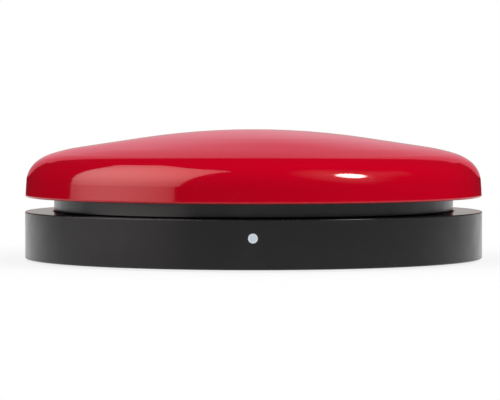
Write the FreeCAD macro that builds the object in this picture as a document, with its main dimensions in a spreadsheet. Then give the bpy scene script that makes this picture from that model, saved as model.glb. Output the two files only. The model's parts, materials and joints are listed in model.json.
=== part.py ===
# Adaptive switch button: a wide domed cap on a round base, pressed anywhere on the cap.
# Millimetres, +Z up. The origin is on the floor, under the middle of the base.
# The front, where the status light is, faces -Y.
import FreeCAD, Part
import math
import os

import Sketcher

Vector = FreeCAD.Vector
doc = FreeCAD.newDocument("adaptive_switch_button")
sheet = doc.addObject("Spreadsheet::Sheet", "Sizes")

# Sizes that drive the part.
SIZES = [
    ("base_radius", 62.5, "outside of the base and of the cap's lip"),
    ("cap_lip_level", 17.2, "height of the cap's lower edge"),
    ("cap_top_level", 35.6, "height of the cap's crown"),
    ("cap_wall", 2.5, "thickness of the cap's shell"),
    ("cone_angle", 8.5, "slope, in degrees, of the shallow cone round the crown"),
    ("brow_angle", 18.0, "slope, in degrees, where the brow turns into the shoulder"),
    ("shoulder_angle", 38.0, "slope, in degrees, half way round the shoulder"),
    ("side_angle", 85.6, "slope, in degrees, of the cap's side"),
    ("cone_long", 17.4, "width of the shallow cone"),
    ("brow_round", 48.0, "rounding between cone and shoulder"),
    ("shoulder_round", 12.4, "rounding of the upper shoulder"),
    ("turn_round", 7.5, "rounding between shoulder and side"),
    ("lip_round", 0.5, "rounding of the cap's lower edge"),
    ("cap_boss_radius", 3.4, "bosses in the cap for its screws"),
    ("cap_screw_inset", 7.4, "cap screws, inwards from the neck's inside"),
    ("cap_boss_tall", 5.3, "height of those bosses, into the shell"),
    ("cap_screw_reach", 4.0, "how far a cap screw goes into its boss"),
    ("base_wall", 2.5, "thickness of the base's side wall"),
    ("stand", 0.5, "the feet hold the base this far off the floor"),
    ("base_top_level", 13.3, "height of the base's flat top ring"),
    ("deck_thick", 2.2, "thickness of the base's top ring and hub"),
    ("hub_gap", 2.9, "gap between the neck and the hub"),
    ("edge_round", 0.25, "rounding of the base's outer edges"),
    ("hub_wall", 2.0, "thickness of the hub's side wall"),
    ("hub_level", 19.0, "height of the hub's top"),
    ("hub_hole_radius", 6.5, "opening in the hub for the pusher"),
    ("lip_overhang", 7.9, "reach of the cap's lip over the neck"),
    ("neck_wall", 2.2, "thickness of the neck"),
    ("neck_gap", 0.15, "gap between the neck and the base's top ring"),
    ("neck_bevel", 0.15, "bevel of the neck's lower edge"),
    ("dip_deep", 1.0, "depth of the groove into which the neck dips"),
    ("dip_play", 0.4, "play between the neck and the sides of that groove"),
    ("flange_level", 18.4, "underside of the carrier's outer flange"),
    ("flange_thick", 2.0, "thickness of that flange"),
    ("flange_play", 0.6, "play between the flange and the cap"),
    ("plate_level", 22.0, "underside of the carrier's plate"),
    ("plate_thick", 2.0, "thickness of that plate"),
    ("rib_tall", 2.4, "height of the ribs on the carrier"),
    ("rib_wide", 1.6, "thickness of those ribs"),
    ("rib_start", 9.0, "inner end of a rib"),
    ("rib_inset", 9.4, "outer end of a rib, inwards from the neck's inside"),
    ("post_radius", 2.4, "radius of a guide post"),
    ("post_bore_deep", 7.5, "depth of the screw's hole in a post"),
    ("well_inset", 1.3, "wells of the springs, inwards from the hub's outside"),
    ("guide_play", 0.25, "play of a guide post in its hole"),
    ("well_radius", 4.8, "inside of a spring well"),
    ("well_wall", 1.0, "wall and floor of a spring well"),
    ("well_level", 13.0, "level on which the springs stand"),
    ("coil_radius", 3.7, "middle of the spring's wire, from its axis"),
    ("coil_wire", 1.0, "diameter of the spring's wire"),
    ("coil_turns", 2, "turns of a return spring"),
    ("washer_radius", 3.8, "outside of a retaining washer"),
    ("washer_thick", 0.8, "thickness of a retaining washer"),
    ("stop_play", 0.05, "play between the washers and their stop"),
    ("screw_head_radius", 2.5, "head of the retaining, cap and board screws"),
    ("screw_head_tall", 1.6, "height of those heads"),
    ("screw_radius", 1.25, "shank of those screws"),
    ("screw_play", 0.15, "play round a shank in a through hole"),
    ("recess_long", 2.6, "length of the cross recess in a screw head"),
    ("recess_wide", 0.6, "width of that recess"),
    ("recess_deep", 0.7, "depth of that recess"),
    ("pusher_radius", 4.5, "pusher that works the switch"),
    ("pad_radius", 4.0, "rubber pad under the pusher"),
    ("pad_thick", 1.2, "thickness of that pad"),
    ("pad_gap", 0.4, "gap between the pad and the plunger"),
    ("board_top_level", 7.76, "upper face of the circuit board"),
    ("board_thick", 1.6, "thickness of the circuit board"),
    ("board_side", 20.0, "half the width of the board"),
    ("board_inset", 6.0, "front edge of the board, inwards from the wall"),
    ("board_back", 6.0, "reach of the board to the back"),
    ("board_corner", 2.5, "corner rounding of the board"),
    ("board_boss_radius", 3.0, "bosses that hold the board"),
    ("board_boss_side", 16.0, "distance of those bosses from the middle"),
    ("board_boss_back", 2.0, "rear pair of those bosses"),
    ("board_boss_inset", 6.0, "front pair, inwards from the board's front edge"),
    ("board_screw_reach", 2.6, "how far a board screw goes into its boss"),
    ("switch_side", 12.0, "side of the main switch"),
    ("switch_tall", 3.5, "height of the main switch's body"),
    ("plunger_radius", 3.4, "plunger of the main switch"),
    ("plunger_play", 0.05, "play round the plunger"),
    ("plunger_seat", 1.4, "depth of the plunger in the switch body"),
    ("plunger_room", 0.3, "room under the plunger for its travel"),
    ("switch_full_tall", 7.3, "height of the switch with its plunger"),
    ("lens_radius", 1.25, "round window of the status light"),
    ("lens_level", 8.56, "height of the status light"),
    ("lens_sink", 0.05, "depth of the window below the wall's face"),
    ("collar_radius", 2.2, "collar of the light pipe"),
    ("collar_thick", 0.75, "thickness of that collar"),
    ("light_wide", 3.0, "width of the light-emitting chip"),
    ("light_deep", 1.3, "depth of that chip"),
    ("light_tall", 1.6, "height of that chip"),
    ("cover_thick", 2.0, "thickness of the bottom cover"),
    ("cover_play", 0.15, "play between the bottom cover and the wall"),
    ("foot_radius", 6.0, "radius of a foot"),
    ("foot_inset", 10.0, "middles of the feet, inwards from the wall"),
    ("foot_bevel", 0.25, "bevel of a foot's lower rim"),
    ("foot_sink", 0.6, "depth of a foot in the bottom cover"),
    ("case_screw_inset", 5.0, "case screws, inwards from the wall"),
    ("case_boss_radius", 3.4, "bosses for the case screws"),
    ("case_head_radius", 2.4, "countersunk head of a case screw"),
    ("case_head_tall", 1.2, "height of that head"),
    ("head_sink", 0.25, "depth of the heads in the cover"),
    ("case_screw_reach", 6.0, "how far a case screw goes into its boss"),
    ("cell_radius", 5.25, "battery cell"),
    ("cell_half_long", 21.75, "half of a battery cell without its button"),
    ("cell_edge", 0.5, "bevel of a cell's rims"),
    ("button_radius", 1.9, "positive button of a cell"),
    ("button_long", 1.0, "length of that button"),
    ("cell_level", 7.5, "height of the cells' axes"),
    ("cell_pitch", 11.2, "distance between the two cells"),
    ("room_inset", 1.1, "rear corners of the room, inwards from the hub"),
    ("room_spare", 2.15, "space beyond a cell's button for a contact"),
    ("room_half_wide", 11.2, "half the width of the battery room"),
    ("room_wall", 1.2, "wall of the battery room"),
    ("room_ceiling", 13.0, "ceiling of the battery room"),
    ("door_side_lap", 0.3, "reach of the door beside the room"),
    ("door_lap", 1.5, "reach of the door in front of the room"),
    ("door_tail", 7.4, "reach of the door behind the room, for its screw"),
    ("door_thick", 1.2, "thickness of the battery door"),
    ("door_play", 0.2, "play round the battery door"),
    ("door_corner", 2.0, "corner rounding of the battery door"),
    ("door_rib_tall", 0.5, "ribs of the door, under the cells"),
    ("door_rib_wide", 1.5, "width of those ribs"),
    ("door_rib_side", 12.0, "distance of those ribs from the middle"),
    ("door_screw_inset", 3.7, "screw of the door, inwards from its rear edge"),
    ("tongue_side", 14.0, "distance of the door's tongues from the middle"),
    ("tongue_wide", 8.0, "width of a tongue"),
    ("tongue_thick", 0.8, "thickness of a tongue"),
    ("tongue_reach", 1.2, "reach of a tongue into the wall of the room"),
    ("tongue_play", 0.1, "play round a tongue in its slot"),
    ("door_boss_radius", 2.8, "boss for the door's screw"),
    ("door_boss_level", 6.2, "top of that boss"),
    ("door_head_radius", 1.9, "countersunk head of the door's screw"),
    ("door_head_tall", 0.9, "height of that head"),
    ("door_screw_radius", 1.0, "shank of that screw"),
    ("door_screw_reach", 4.0, "length of that shank"),
    ("contact_thick", 0.4, "sheet of the battery contacts"),
    ("contact_half", 4.0, "half the side of a contact plate"),
    ("leaf_wide", 2.4, "width of a contact's spring leaf"),
    ("leaf_half_tall", 3.2, "half the height of that leaf"),
    ("leaf_thick", 0.3, "thickness of that leaf"),
    ("leaf_foot", 0.6, "height of the leaf's root on the plate"),
    ("contact_play", 0.05, "play between a leaf and its cell"),
    ("tab_level", 10.4, "height of the contacts' solder tabs"),
    ("tab_half_wide", 1.5, "half the width of a solder tab"),
    ("tab_front_reach", 1.8, "reach of the front cell's solder tab out of the room"),
    ("tab_rear_reach", 3.8, "reach of the rear cell's solder tab out of the room"),
    ("tab_play", 0.15, "play round a solder tab in the wall"),
    ("lead_radius", 0.6, "insulated battery lead"),
    ("lead_level", 8.7, "height at which the leads run"),
    ("lead_bend", 0.7, "inner bend of a lead, at its middle line"),
    ("lead_turn_gap", 4.3, "the leads turn to the board this far before the room"),
    ("lead_landing", 18.4, "place of the leads on the board"),
    ("lead_landing_front", 5.0, "first lead's place on the board"),
    ("lead_landing_pitch", 3.0, "distance between the leads on the board"),
    ("insert_radius", 4.0, "outside of the brass insert"),
    ("insert_bore_radius", 2.6, "bore of the insert's quarter-inch thread"),
    ("insert_long", 5.0, "length of the brass insert"),
    ("insert_boss_radius", 6.0, "boss round the brass insert"),
    ("groove_deep", 0.4, "groove round the insert that keeps it in"),
    ("groove_wide", 1.0, "width of that groove"),
    ("control_side", 11.0, "power knob and pairing key, from the middle"),
    ("control_front", 30.0, "power knob and pairing key, to the front"),
    ("control_low", 0.9, "lower end of the power knob and the key"),
    ("knob_long", 3.0, "length of the power knob"),
    ("knob_wide", 2.4, "width of the power knob"),
    ("knob_corner", 0.4, "rounded corners of the knob"),
    ("knob_travel", 2.0, "how far the power knob slides"),
    ("knob_play", 0.3, "play round the knob and the key"),
    ("slider_long", 9.0, "body of the power switch"),
    ("slider_wide", 4.5, "width of that body"),
    ("slider_level", 2.95, "underside of that body"),
    ("slack", 0.05, "play between a control and its switch"),
    ("key_radius", 1.8, "pairing key"),
    ("key_travel", 0.3, "how far the pairing key goes in"),
    ("key_collar_radius", 2.7, "collar that keeps the key in"),
    ("key_collar_thick", 0.6, "thickness of that collar"),
    ("key_switch_side", 4.6, "small switch behind the pairing key"),
    ("key_switch_tall", 1.6, "height of that switch"),
    ("radio_side", 13.0, "middle of the radio module"),
    ("radio_front", 22.0, "middle of the radio module, to the front"),
    ("radio_wide", 10.0, "width of the radio module"),
    ("radio_long", 14.0, "length of the radio module"),
    ("radio_thick", 0.8, "thickness of its board"),
    ("shield_tall", 1.6, "height of its metal can"),
    ("shield_long", 9.0, "length of that can"),
    ("shield_edge", 0.7, "rim of the module round the can"),
    ("chip_side", 6.0, "side of the controller chip"),
    ("chip_tall", 0.9, "height of that chip"),
    ("chip_place", 12.0, "controller chip, from the middle"),
    ("chip_front", 20.0, "controller chip, to the front"),
]
ALIASES = {alias for alias, value, note in SIZES}

for row, (alias, value, note) in enumerate(SIZES, start=1):
    sheet.set("A%d" % row, alias)
    sheet.set("B%d" % row, str(value))
    sheet.set("C%d" % row, note)
    sheet.setAlias("B%d" % row, alias)
doc.recompute()

# Levels that follow from the sizes.
COVER_TOP = "stand + cover_thick"
CAP_INSIDE = "base_radius - cap_wall"
BASE_INSIDE = "( base_radius - base_wall )"
NECK_RADIUS = "( base_radius - lip_overhang )"
NECK_INSIDE = "( base_radius - lip_overhang - neck_wall )"
HUB_RADIUS = "( base_radius - lip_overhang - neck_wall - hub_gap )"
HUB_INSIDE = "( base_radius - lip_overhang - neck_wall - hub_gap - hub_wall )"
POST_RING = "( " + HUB_RADIUS + " - well_inset - well_wall - well_radius )"
CAP_SCREW_RING = "( " + NECK_INSIDE + " - cap_screw_inset )"
CASE_SCREW_RING = "( " + BASE_INSIDE + " - case_screw_inset )"
FOOT_RING = "( " + BASE_INSIDE + " - foot_inset )"
BOARD_FRONT = "( " + BASE_INSIDE + " - board_inset )"
BOARD_BOSS_FRONT = "( " + BOARD_FRONT + " - board_boss_inset )"
HUB_UNDER = "hub_level - deck_thick"
DECK_UNDER = "base_top_level - deck_thick"
NECK_LOW = "base_top_level + neck_gap"
PLATE_TOP = "plate_level + plate_thick"
WELL_UNDER = "well_level - well_wall"
POST_LOW = WELL_UNDER + " - stop_play"
WASHER_LOW = POST_LOW + " - washer_thick"
BOARD_UNDER = "board_top_level - board_thick"
PLUNGER_TOP = "board_top_level + switch_full_tall"
PAD_LOW = PLUNGER_TOP + " + pad_gap"
SWITCH_TOP = "board_top_level + switch_tall"
ROOM_HALF_LONG = "( cell_half_long + button_long + room_spare )"
ROOM_OUTSIDE = "( " + ROOM_HALF_LONG + " + room_wall )"
ROOM_BACK = "( sqrt ( " + HUB_INSIDE + " ^ 2 - " + ROOM_OUTSIDE + " ^ 2 ) - room_inset )"
ROOM_MIDDLE = "( " + ROOM_BACK + " - room_wall - room_half_wide )"
ROOM_FRONT = "( " + ROOM_MIDDLE + " - room_half_wide - room_wall )"
DOOR_FRONT = "( " + ROOM_FRONT + " - door_lap )"
DOOR_BACK = "( " + ROOM_BACK + " + door_tail )"
DOOR_SCREW = "( " + DOOR_BACK + " - door_screw_inset )"
DOOR_HALF_LONG = "( " + ROOM_OUTSIDE + " + door_side_lap )"
DOOR_TOP = "stand + door_thick"
FRONT_TAB_END = "( " + ROOM_OUTSIDE + " + tab_front_reach )"
REAR_TAB_END = "( " + ROOM_OUTSIDE + " + tab_rear_reach )"
TONGUE_LOW = "( stand + cover_thick + tongue_play )"
HEAD_LOW = "stand + head_sink"

# Directions of repeated pieces, in degrees from +X.
POST_TURNS = (25, 155, 270)
CAP_SCREW_TURNS = (45, 135, 225, 315)
FOOT_TURNS = (45, 135, 225, 315)
CASE_SCREW_TURNS = (0, 60, 120, 180, 240, 300)
RIB_START_TURN = 22.5
RIB_COUNT = 8

# Edges are told apart by sizes and places that agree this closely.
SAME = 0.01


def named(text):
    """An expression in which every alias points at the sheet."""
    spaced = text.replace("(", " ( ").replace(")", " ) ")
    words = ["Sizes." + word if word in ALIASES else word for word in spaced.split()]
    return " ".join(words).replace("sqrt (", "sqrt(")


def number(text):
    """The present value of an expression."""
    return float(sheet.evalExpression(named(text)))


def ring_place(ring, turn):
    """Expressions for a place on a circle round the main axis."""
    across = "%s * %.9f" % (ring, math.cos(math.radians(turn)))
    along = "%s * %.9f" % (ring, math.sin(math.radians(turn)))
    return across, along


def ring_places(ring, turns):
    return [ring_place(ring, turn) for turn in turns]


# Bodies, sketches and features.
def new_body(label):
    body = doc.addObject("PartDesign::Body", label)
    body.Label = label
    return body


def origin_part(body, role):
    for feature in body.Origin.OriginFeatures:
        if feature.Role == role:
            return feature


def new_sketch(body, plane, level="0"):
    """A sketch on one of the body's own planes, lifted along the plane's normal."""
    sketch = body.newObject("Sketcher::SketchObject", body.Label + "_sketch")
    sketch.AttachmentSupport = [(origin_part(body, plane), "")]
    sketch.MapMode = "FlatFace"
    if level != "0":
        sketch.setExpression("AttachmentOffset.Base.z", named(level))
    return sketch


def tie_point(sketch, geometry, point, across, up):
    """Tie one point of a sketch to two expressions."""
    for kind, text in (("DistanceX", across), ("DistanceY", up)):
        constraint = Sketcher.Constraint(kind, -1, 1, geometry, point, number(text))
        index = sketch.addConstraint(constraint)
        sketch.setExpression("Constraints[%d]" % index, named(text))


def draw_outline(sketch, points):
    """A closed outline of straight lines through places given as expressions."""
    values = [Vector(number(across), number(up), 0) for across, up in points]
    count = len(points)
    first = sketch.GeometryCount
    for step in range(count):
        line = Part.LineSegment(values[step], values[(step + 1) % count])
        sketch.addGeometry(line, False)
    for step in range(count):
        following = first + (step + 1) % count
        sketch.addConstraint(Sketcher.Constraint("Coincident", first + step, 2, following, 1))
    for step in range(count):
        tie_point(sketch, first + step, 1, points[step][0], points[step][1])


def draw_circle(sketch, across, up, radius):
    centre = Vector(number(across), number(up), 0)
    index = sketch.addGeometry(Part.Circle(centre, Vector(0, 0, 1), number(radius)), False)
    tie_point(sketch, index, 3, across, up)
    constraint = Sketcher.Constraint("Radius", index, number(radius))
    place = sketch.addConstraint(constraint)
    sketch.setExpression("Constraints[%d]" % place, named(radius))


def box_outline(left, front, right, back):
    return [(left, front), (right, front), (right, back), (left, back)]


def middle_box(across, along, half_wide, half_long):
    """A box outline round a middle place."""
    return box_outline(
        "%s - %s" % (across, half_wide),
        "%s - %s" % (along, half_long),
        "%s + %s" % (across, half_wide),
        "%s + %s" % (along, half_long),
    )


def add_feature(body, kind, sketch, settings, expressions):
    feature = body.newObject("PartDesign::" + kind, body.Label + "_" + kind.lower())
    feature.Profile = sketch
    for key, value in settings.items():
        setattr(feature, key, value)
    for key, text in expressions.items():
        feature.setExpression(key, named(text))
    sketch.Visibility = False
    body.Tip = feature
    doc.recompute()
    return feature


def raise_sketch(body, sketch, height):
    return add_feature(body, "Pad", sketch, {"Type": 0}, {"Length": height})


def cut_up(body, sketch, height):
    """Cut from the sketch's plane along its normal."""
    return add_feature(body, "Pocket", sketch, {"Type": 0, "Reversed": True}, {"Length": height})


def turn_profile(body, points, cut=False):
    """A profile of radius and height, turned round the main axis."""
    sketch = new_sketch(body, "XZ_Plane")
    draw_outline(sketch, points)
    kind = "Groove" if cut else "Revolution"
    return add_feature(body, kind, sketch, {"ReferenceAxis": (sketch, ["V_Axis"]), "Angle": 360}, {})


def add_discs(body, places, radius, low, height):
    sketch = new_sketch(body, "XY_Plane", low)
    for across, along in places:
        draw_circle(sketch, across, along, radius)
    return raise_sketch(body, sketch, height)


def cut_discs(body, places, radius, low, height):
    sketch = new_sketch(body, "XY_Plane", low)
    for across, along in places:
        draw_circle(sketch, across, along, radius)
    return cut_up(body, sketch, height)


def add_outlines(body, outlines, low, height):
    sketch = new_sketch(body, "XY_Plane", low)
    for points in outlines:
        draw_outline(sketch, points)
    return raise_sketch(body, sketch, height)


def cut_outlines(body, outlines, low, height):
    sketch = new_sketch(body, "XY_Plane", low)
    for points in outlines:
        draw_outline(sketch, points)
    return cut_up(body, sketch, height)


def round_edges(body, chosen, radius):
    """Round the edges that a test picks out."""
    return finish_edges(body, "Fillet", chosen, "Radius", radius)


def finish_edges(body, kind, chosen, setting, width):
    base = body.Tip
    names = []
    for index, edge in enumerate(base.Shape.Edges, start=1):
        if chosen(edge):
            names.append("Edge%d" % index)
    if not names:
        raise RuntimeError("no edge to finish on " + body.Label)
    feature = body.newObject("PartDesign::" + kind, body.Label + "_" + kind.lower())
    feature.Base = (base, names)
    feature.setExpression(setting, named(width))
    body.Tip = feature
    doc.recompute()
    return feature


def chamfer_edges(body, chosen, width):
    """Bevel the edges that a test picks out."""
    return finish_edges(body, "Chamfer", chosen, "Size", width)


def is_round(edge):
    """True for an edge that runs along a circle."""
    return not edge.Degenerated and hasattr(edge.Curve, "Radius")


def is_ring(edge, radius, level):
    """True for a full circle round the main axis of this radius at this height."""
    if not is_round(edge):
        return False
    same_radius = abs(edge.Curve.Radius - number(radius)) < SAME
    same_level = abs(edge.Curve.Center.z - number(level)) < SAME
    centred = math.hypot(edge.Curve.Center.x, edge.Curve.Center.y) < SAME
    return same_radius and same_level and centred


def is_upright(edge):
    """True for a straight edge that runs along the main axis."""
    start = edge.Vertexes[0].Point
    end = edge.Vertexes[-1].Point
    return math.hypot(start.x - end.x, start.y - end.y) < SAME and abs(start.z - end.z) > SAME


def cross_recesses(body, places, low):
    """Cross recesses in the lower side of screw heads."""
    for half_wide, half_long in (("recess_long / 2", "recess_wide / 2"),
                                 ("recess_wide / 2", "recess_long / 2")):
        outlines = [middle_box(across, along, half_wide, half_long) for across, along in places]
        cut_outlines(body, outlines, low, "recess_deep")


# The cap: a thin shell with a rounded crown, a shallow cone, a shoulder and a leaning side.
def along_slope(slope):
    """The direction in which a profile runs down at this slope."""
    return Vector(math.cos(slope), -math.sin(slope), 0)


def out_of_slope(slope):
    """The direction that stands out from a profile of this slope."""
    return Vector(math.sin(slope), math.cos(slope), 0)


def crown_radius(slopes, rounds):
    """The radius with which the whole outline ends exactly at the lip.

    Every stretch starts with the slope at which the one before it ends. That leaves two
    unknowns, the crown's radius and the length of the straight side, for two conditions.
    """
    across = number("base_radius") - number("cone_long") * math.cos(slopes[0])
    fall = number("cap_top_level - cap_lip_level") - number("cone_long") * math.sin(slopes[0])
    for radius, start, end in zip(rounds, slopes, slopes[1:]):
        across -= radius * (math.sin(end) - math.sin(start))
        fall -= radius * (math.cos(start) - math.cos(end))
    side = slopes[-1]
    share = math.sin(slopes[0]) * math.sin(side) - math.cos(side) * (1 - math.cos(slopes[0]))
    return (across * math.sin(side) - fall * math.cos(side)) / share


def add_arc(sketch, centre, radius, start, end):
    circle = Part.Circle(centre, Vector(0, 0, 1), radius)
    sketch.addGeometry(Part.ArcOfCircle(circle, math.pi / 2 - end, math.pi / 2 - start), False)


def draw_cap_line(sketch, inset, lip):
    """The outline from the crown to the lip, shifted inwards by inset."""
    slopes = [math.radians(number(name)) for name in (
        "cone_angle", "brow_angle", "shoulder_angle", "side_angle")]
    rounds = [number(name) for name in ("brow_round", "shoulder_round", "turn_round")]
    crown = crown_radius(slopes, rounds)
    centre = Vector(0, number("cap_top_level") - crown, 0)
    add_arc(sketch, centre, crown - inset, 0, slopes[0])
    cone_top = centre + out_of_slope(slopes[0]) * (crown - inset)
    cone_foot = cone_top + along_slope(slopes[0]) * number("cone_long")
    sketch.addGeometry(Part.LineSegment(cone_top, cone_foot), False)
    place = cone_foot
    for radius, start, end in zip(rounds, slopes, slopes[1:]):
        centre = place - out_of_slope(start) * (radius - inset)
        add_arc(sketch, centre, radius - inset, start, end)
        place = centre + out_of_slope(end) * (radius - inset)
    sketch.addGeometry(Part.LineSegment(place, lip), False)


def draw_cap_profile(sketch):
    wall = number("cap_wall")
    outer_lip = Vector(number("base_radius"), number("cap_lip_level"), 0)
    inner_lip = outer_lip - Vector(wall / math.sin(math.radians(number("side_angle"))), 0, 0)
    draw_cap_line(sketch, 0, outer_lip)
    draw_cap_line(sketch, wall, inner_lip)
    sketch.addGeometry(Part.LineSegment(outer_lip, inner_lip), False)
    crown = Vector(0, number("cap_top_level"), 0)
    sketch.addGeometry(Part.LineSegment(crown, crown - Vector(0, wall, 0)), False)


def build_cap():
    body = new_body("cap")
    sketch = new_sketch(body, "XZ_Plane")
    draw_cap_profile(sketch)
    add_feature(body, "Revolution", sketch,
                {"ReferenceAxis": (sketch, ["V_Axis"]), "Angle": 360}, {})
    round_edges(body, lambda edge: is_ring(edge, "base_radius", "cap_lip_level"), "lip_round")
    places = ring_places(CAP_SCREW_RING, CAP_SCREW_TURNS)
    add_discs(body, places, "cap_boss_radius", PLATE_TOP, "cap_boss_tall")
    cut_discs(body, places, "screw_radius", PLATE_TOP, "cap_screw_reach")


# The carrier under the cap: the neck that shows, a flange, a plate, ribs, posts and the pusher.
def build_carrier():
    body = new_body("cap_carrier")
    flange_edge = CAP_INSIDE + " - flange_play"
    flange_top = "flange_level + flange_thick"
    turn_profile(body, [
        (NECK_INSIDE, NECK_LOW),
        (NECK_RADIUS, NECK_LOW),
        (NECK_RADIUS, "flange_level"),
        (flange_edge, "flange_level"),
        (flange_edge, flange_top),
        (NECK_RADIUS, flange_top),
        (NECK_RADIUS, PLATE_TOP),
        ("0", PLATE_TOP),
        ("0", "plate_level"),
        (NECK_INSIDE, "plate_level"),
    ])
    rib = new_sketch(body, "XY_Plane", PLATE_TOP)
    turned = FreeCAD.Rotation(Vector(0, 0, 1), RIB_START_TURN)
    rib.AttachmentOffset = FreeCAD.Placement(Vector(0, 0, number(PLATE_TOP)), turned)
    rib.setExpression("AttachmentOffset.Base.z", named(PLATE_TOP))
    rib_end = NECK_INSIDE + " - rib_inset"
    draw_outline(rib, box_outline("rib_start", "0 - rib_wide / 2", rib_end, "rib_wide / 2"))
    first_rib = raise_sketch(body, rib, "rib_tall")
    repeat_round(body, first_rib, RIB_COUNT)
    posts = ring_places(POST_RING, POST_TURNS)
    add_discs(body, posts, "post_radius", POST_LOW, "plate_level - ( " + POST_LOW + " )")
    cut_discs(body, posts, "screw_radius", POST_LOW, "post_bore_deep")
    pusher_low = PAD_LOW + " + pad_thick"
    add_discs(body, [("0", "0")], "pusher_radius", pusher_low,
              "plate_level - ( " + pusher_low + " )")
    cut_discs(body, ring_places(CAP_SCREW_RING, CAP_SCREW_TURNS),
              "screw_radius + screw_play", "plate_level", "plate_thick")
    chamfer_edges(body, lambda edge: is_ring(edge, NECK_RADIUS, NECK_LOW), "neck_bevel")


def repeat_round(body, feature, count):
    """Repeat a feature evenly round the main axis."""
    pattern = body.newObject("PartDesign::PolarPattern", body.Label + "_round")
    pattern.Originals = [feature]
    pattern.Axis = (origin_part(body, "Z_Axis"), [""])
    pattern.Angle = 360
    pattern.Occurrences = count
    body.Tip = pattern
    doc.recompute()
    return pattern


def build_pad():
    body = new_body("pusher_pad")
    add_discs(body, [("0", "0")], "pad_radius", PAD_LOW, "pad_thick")


def build_cap_screws():
    body = new_body("cap_screws")
    places = ring_places(CAP_SCREW_RING, CAP_SCREW_TURNS)
    head_low = "plate_level - screw_head_tall"
    add_discs(body, places, "screw_head_radius", head_low, "screw_head_tall")
    add_discs(body, places, "screw_radius", "plate_level", "plate_thick + cap_screw_reach")
    cross_recesses(body, places, head_low)


def build_retaining_washers():
    body = new_body("retaining_washers")
    places = ring_places(POST_RING, POST_TURNS)
    add_discs(body, places, "washer_radius", WASHER_LOW, "washer_thick")
    cut_discs(body, places, "screw_radius", WASHER_LOW, "washer_thick")


def build_retaining_screws():
    body = new_body("retaining_screws")
    places = ring_places(POST_RING, POST_TURNS)
    head_low = WASHER_LOW + " - screw_head_tall"
    add_discs(body, places, "screw_head_radius", head_low, "screw_head_tall")
    add_discs(body, places, "screw_radius", WASHER_LOW, "washer_thick + post_bore_deep")
    cross_recesses(body, places, head_low)


# The base: side wall, flat top ring with a groove for the neck, and raised hub, open below.
def build_base():
    body = new_body("base_housing")
    turn_profile(body, [
        (BASE_INSIDE, "stand"),
        ("base_radius", "stand"),
        ("base_radius", "base_top_level"),
        (NECK_RADIUS + " + dip_play", "base_top_level"),
        (NECK_RADIUS + " + dip_play", "base_top_level - dip_deep"),
        (NECK_INSIDE + " - dip_play", "base_top_level - dip_deep"),
        (NECK_INSIDE + " - dip_play", "base_top_level"),
        (HUB_RADIUS, "base_top_level"),
        (HUB_RADIUS, "hub_level"),
        ("hub_hole_radius", "hub_level"),
        ("hub_hole_radius", HUB_UNDER),
        (HUB_INSIDE, HUB_UNDER),
        (HUB_INSIDE, DECK_UNDER),
        (BASE_INSIDE, DECK_UNDER),
    ])
    round_edges(body, lambda edge: is_ring(edge, "base_radius", "base_top_level"),
                "edge_round")
    chamfer_edges(body, lambda edge: is_ring(edge, "base_radius", "stand"), "edge_round")
    wells = ring_places(POST_RING, POST_TURNS)
    add_discs(body, wells, "well_radius + well_wall", WELL_UNDER,
              "hub_level - ( " + WELL_UNDER + " )")
    cut_discs(body, wells, "well_radius", "well_level", "hub_level - well_level")
    cut_discs(body, wells, "post_radius + guide_play", WELL_UNDER, "well_wall")
    case_bosses = ring_places(CASE_SCREW_RING, CASE_SCREW_TURNS)
    add_discs(body, case_bosses, "case_boss_radius", COVER_TOP,
              DECK_UNDER + " - ( " + COVER_TOP + " )")
    cut_discs(body, case_bosses, "screw_radius", COVER_TOP, "case_screw_reach")
    add_discs(body, board_screw_places()[:2], "board_boss_radius", "board_top_level",
              HUB_UNDER + " - board_top_level")
    add_discs(body, board_screw_places()[2:], "board_boss_radius", "board_top_level",
              DECK_UNDER + " - board_top_level")
    cut_discs(body, board_screw_places(), "screw_radius", "board_top_level",
              "board_screw_reach")
    window = new_sketch(body, "XZ_Plane", BASE_INSIDE + " - collar_radius")
    draw_circle(window, "0", "lens_level", "lens_radius")
    cut_up(body, window, "base_wall + 2 * collar_radius")


def board_screw_places():
    """Two places behind the middle of the board and two at its front."""
    return [
        ("board_boss_side", "board_boss_back"),
        ("0 - board_boss_side", "board_boss_back"),
        ("board_boss_side", "0 - " + BOARD_BOSS_FRONT),
        ("0 - board_boss_side", "0 - " + BOARD_BOSS_FRONT),
    ]


def room_outline(extra):
    """The battery room's outline, grown by a wall."""
    return box_outline(
        "0 - " + ROOM_HALF_LONG + " - " + extra,
        ROOM_MIDDLE + " - room_half_wide - " + extra,
        ROOM_HALF_LONG + " + " + extra,
        ROOM_MIDDLE + " + room_half_wide + " + extra,
    )


def door_outline(extra):
    return box_outline(
        "0 - " + DOOR_HALF_LONG + " - " + extra,
        DOOR_FRONT + " - " + extra,
        DOOR_HALF_LONG + " + " + extra,
        DOOR_BACK + " + " + extra,
    )


def door_screw_places():
    """The one screw behind the battery room; tongues hold the door at its front."""
    return [("0", DOOR_SCREW)]


def tongue_outlines(reach, play):
    """The door's two tongues, or their slots in the room's front wall."""
    half = "tongue_wide / 2 + " + play
    front = ROOM_FRONT + " + room_wall - ( " + reach + " )"
    back = ROOM_FRONT + " + room_wall + tongue_thick + door_play"
    outlines = []
    for side in ("tongue_side", "0 - tongue_side"):
        outlines.append(box_outline(side + " - ( " + half + " )", front,
                                    side + " + " + half, back))
    return outlines


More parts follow.
